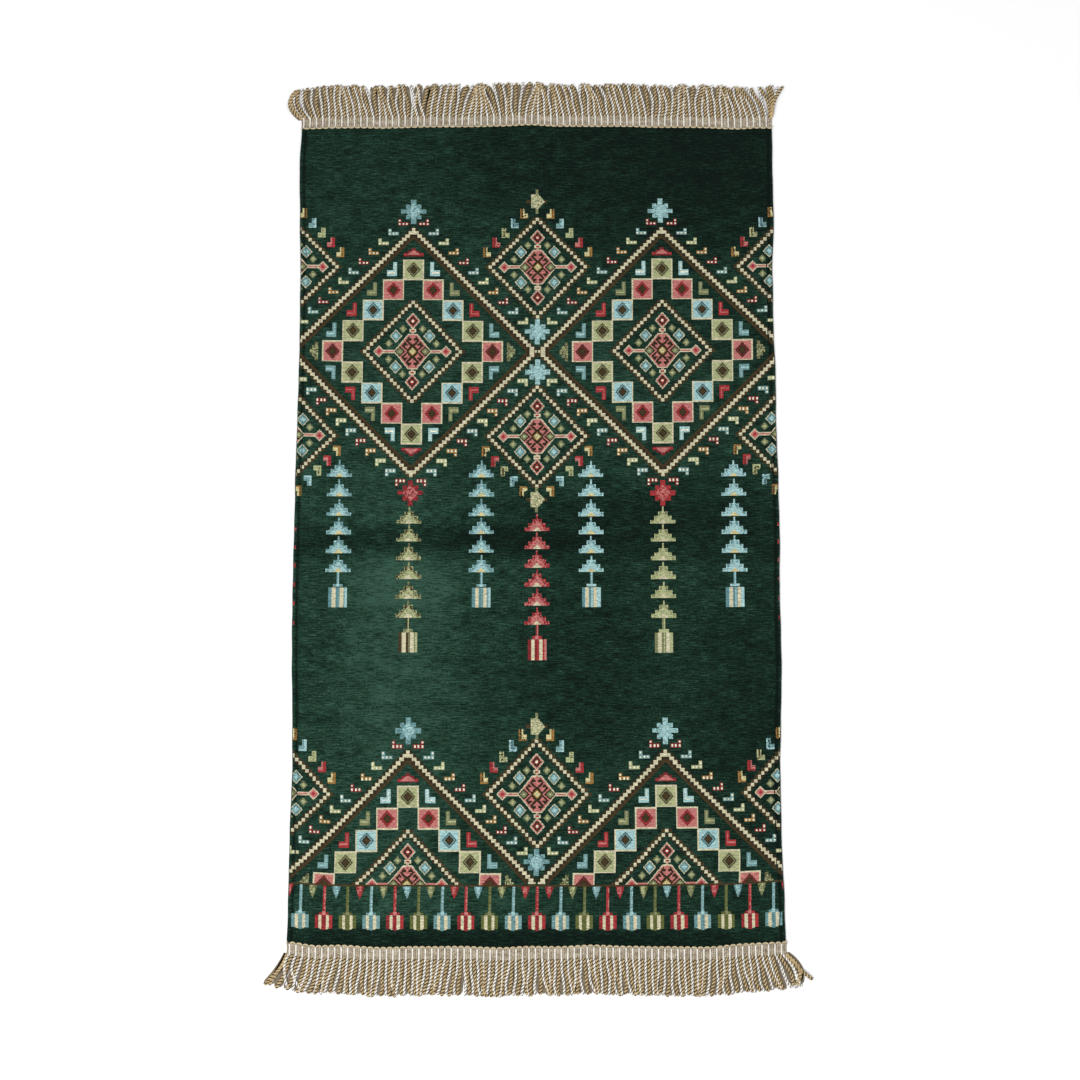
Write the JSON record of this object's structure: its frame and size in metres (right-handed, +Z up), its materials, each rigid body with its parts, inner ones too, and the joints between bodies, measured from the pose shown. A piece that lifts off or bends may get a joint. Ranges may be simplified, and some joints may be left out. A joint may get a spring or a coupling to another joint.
{
  "type": "prayer rug",
  "caption": "Flat oblong woven rug with narrow side hems and a corded fringe sewn along each short end, to lie on a floor.",
  "frame": {"origin": "on the floor, at the middle of the cloth's underside", "axes": "+X across the rug to the right as seen from the foot, +Y along it to the head end, +Z up"},
  "size_m": [0.7384, 1.3083, 0.0036],
  "materials": {
    "cloth": "dark green figured chenille, matt, with cream, red, blue, olive and brown figures",
    "trim": "gold and white twisted cords on a beige woven tape, soft sheen"
  },
  "bodies": {
    "root": {"cloth": "cloth", "head_fringe": "trim", "foot_fringe": "trim"}
  },
  "joints": []
}
